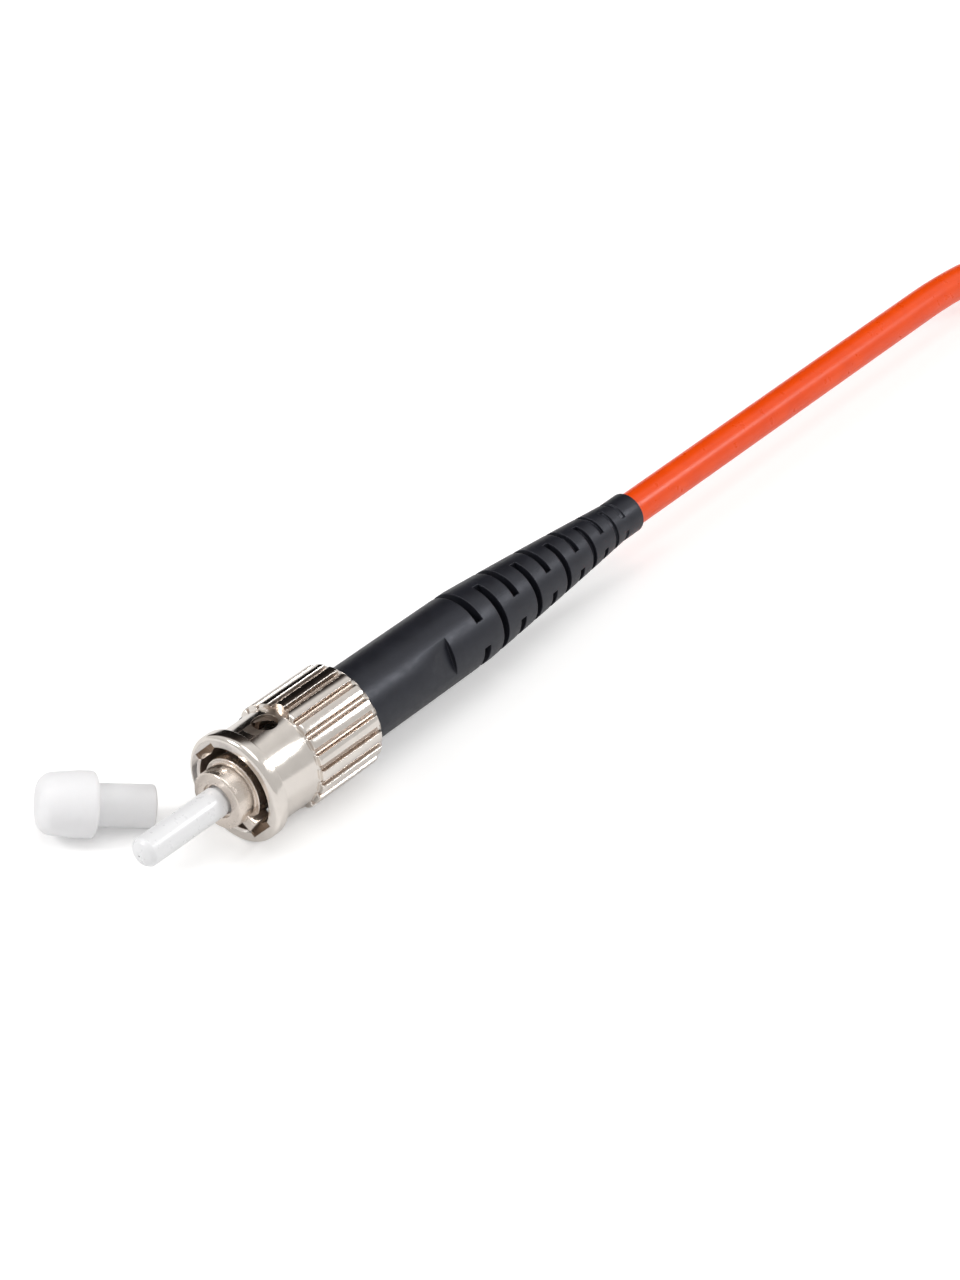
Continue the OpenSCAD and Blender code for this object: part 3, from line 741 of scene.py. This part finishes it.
def make_boot():
    """The tapered sleeve, then its paired slots and the flat panel cut from it."""
    outline = [(11.95, 3.07, 0.0), (12.25, 3.37, 0.1), (14.3, 3.37, 0), (20, 3.352, 0),
               (26, 3.325, 0), (28.5, 3.31, 1.0)]
    profile = rounded(outline, 6)
    x = 29.6
    while x < SLOT_X[-1] + 0.2:
        profile.append((x, taper(x)))
        x += 0.45
    profile += rounded([(49.3, 1.79, 0), (BOOT_END, 1.79, 0.16), (BOOT_END, BOOT_BORE, 0.06),
                        (49.5, BOOT_BORE, 0)], 5)
    profile += [(27.75, BOOT_BORE), (27.25, 2.03), (22.65, 2.03), (20.65, 2.62), (11.95, 2.62)]
    boot = outward(raw_object("boot_shell", *lathe(profile, 180, True)))

    slots = []
    for i, mid in enumerate(SLOT_X):
        width = 0.78 - 0.03 * i
        floor_r = BOOT_BORE + 0.55 - 0.045 * i
        for side in (0, 180):
            a0 = BOOT_ANGLE + 90 * (i % 2) + 20 + side

            def wedge(u, v, level, mid=mid, width=width, a0=a0, floor_r=floor_r):
                return around(mid + (u - 0.5) * width, floor_r + level * (4.4 - floor_r),
                              a0 + 140 * v)
            slots.append(block(2, 40, wedge))

    def panel(u, v, level):
        x = 21.1 + 3.4 * v
        a = math.radians(BOOT_ANGLE)
        across = (u - 0.5) * 5.6
        reach = 3.455 - 0.57 * v if level == 0 else 4.6
        return (x, reach * math.cos(a) - across * math.sin(a),
                reach * math.sin(a) + across * math.cos(a))

    cut(boot, outward(raw_object("slots", *merged(slots))),
        outward(raw_object("panel", *block(6, 8, panel))))
    store(boot, "connector", BOOT, 35)
    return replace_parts(boot, "boot")


make_boot()


# ---------------------------------------------------------------- dust cap

def make_cap():
    head_r, head_len, stem_r, length = 2.65, 4.6, 1.725, 9.2
    profile = rounded([
        (0, 0, 0), (0, head_r - 0.3, 1.3), (3.1, head_r, 2.0), (head_len, head_r, 0.5),
        (head_len, stem_r, 0.25), (length, stem_r, 0.42), (length, 1.28, 0.1),
        (0.9, 1.28, 0.3), (0.9, 0, 0)], 10)
    cap = raw_object("dust_cap_shell", *lathe(profile, 128))
    heel = head_len - 0.5
    tilt = math.atan((head_r - stem_r) / (length - 0.25 - heel))
    lift = heel * math.sin(tilt) + head_r * math.cos(tilt)
    place = (Matrix.Translation((-7.9, 11.7, FLOOR + lift))
             @ Matrix.Rotation(math.radians(-39), 4, "Z") @ Matrix.Rotation(tilt, 4, "Y"))
    cap.data.transform(place)
    store(cap, "connector", CAP, 50)
    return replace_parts(cap, "dust_cap")


make_cap()


# ---------------------------------------------------------------- carried-over CAD nodes

for name, material in (("glass_fibre", GLASS), ("tight_buffer", BUFFER), ("spring", STEEL),
                       ("spring_washer", STEEL), ("thrust_washer", STEEL),
                       ("retaining_ring", STEEL), ("crimp_sleeve", CRIMP), ("aramid_yarn", YARN)):
    nodes[name].data.materials.clear()
    nodes[name].data.materials.append(material)


# ---------------------------------------------------------------- floor, light and background

def make_floor():
    corners = [(x, y, FLOOR) for x, y in ((-1500, -1500), (1500, -1500), (1500, 1500),
                                          (-1500, 1500))]
    floor = raw_object("floor", corners, [[0, 1, 2, 3]])
    floor.data.transform(Matrix.Scale(MM, 4))
    material = bpy.data.materials.new("floor")
    material.use_nodes = True
    tree = material.node_tree
    tree.nodes.clear()
    new, link = tree.nodes.new, tree.links.new
    paper, glow = new("ShaderNodeBsdfDiffuse"), new("ShaderNodeEmission")
    path = new("ShaderNodeLightPath")
    paper.inputs["Color"].default_value = (0.86, 0.86, 0.86, 1)
    glow.inputs["Color"].default_value = (1, 1, 1, 1)
    add, out = new("ShaderNodeAddShader"), new("ShaderNodeOutputMaterial")
    seen = new("ShaderNodeMath")
    seen.operation = "MULTIPLY"
    seen.inputs[1].default_value = 0.3
    link(path.outputs["Is Camera Ray"], seen.inputs[0])
    link(seen.outputs[0], glow.inputs["Strength"])
    link(paper.outputs[0], add.inputs[0])
    link(glow.outputs[0], add.inputs[1])
    link(add.outputs[0], out.inputs["Surface"])
    floor.data.materials.append(material)


def make_world():
    """White to the camera; a plain pale room with a dark side for the light and the metal."""
    world = bpy.data.worlds.new("world")
    bpy.context.scene.world = world
    world.use_nodes = True
    tree = world.node_tree
    tree.nodes.clear()
    new, link = tree.nodes.new, tree.links.new
    path, out = new("ShaderNodeLightPath"), new("ShaderNodeOutputWorld")
    white, room, mix = (new("ShaderNodeBackground"), new("ShaderNodeBackground"),
                        new("ShaderNodeMixShader"))
    white.inputs["Color"].default_value = (1, 1, 1, 1)
    coords, dark = new("ShaderNodeTexCoord"), new("ShaderNodeVectorMath")
    dark.operation = "DOT_PRODUCT"
    dark.inputs[1].default_value = Vector((0.60, 0.72, 0.34)).normalized()
    ramp = new("ShaderNodeValToRGB")
    stops = [(0.0, (0.80, 0.79, 0.78)), (0.45, (0.88, 0.865, 0.85)), (0.73, (1.06, 1.045, 1.03)),
             (0.85, (0.07, 0.052, 0.043)), (0.96, (0.012, 0.010, 0.009))]
    elements = ramp.color_ramp.elements
    while len(elements) < len(stops):
        elements.new(0.5)
    for element, (position, colour) in zip(elements, stops):
        element.position = position
        element.color = (*colour, 1)
    link(coords.outputs["Generated"], dark.inputs[0])
    link(dark.outputs["Value"], ramp.inputs["Fac"])
    link(ramp.outputs["Color"], room.inputs["Color"])
    room.inputs["Strength"].default_value = 0.8
    link(path.outputs["Is Camera Ray"], mix.inputs["Fac"])
    link(room.outputs[0], mix.inputs[1])
    link(white.outputs[0], mix.inputs[2])
    link(mix.outputs[0], out.inputs["Surface"])


def area_light(name, place, target, size, watts, colour=(1, 1, 1)):
    data = bpy.data.lights.new(name, "AREA")
    data.shape = "DISK"
    data.size = size
    data.energy = watts
    data.color = colour
    light = bpy.data.objects.new(name, data)
    light.location = place
    light.rotation_euler = (Vector(target) - Vector(place)).to_track_quat("-Z", "Y").to_euler()
    bpy.context.collection.objects.link(light)


make_floor()
make_world()
area_light("overhead", (0.02, -0.05, 0.55), (0.04, 0, 0), 0.40, 0.6)
area_light("window", (0.33, -0.27, 0.30), (0.03, 0, 0), 0.12, 0.6)
area_light("side", (-0.34, 0.30, 0.40), (0.03, 0, 0), 0.16, 1.1)

bpy.context.scene.view_settings.view_transform = "Standard"
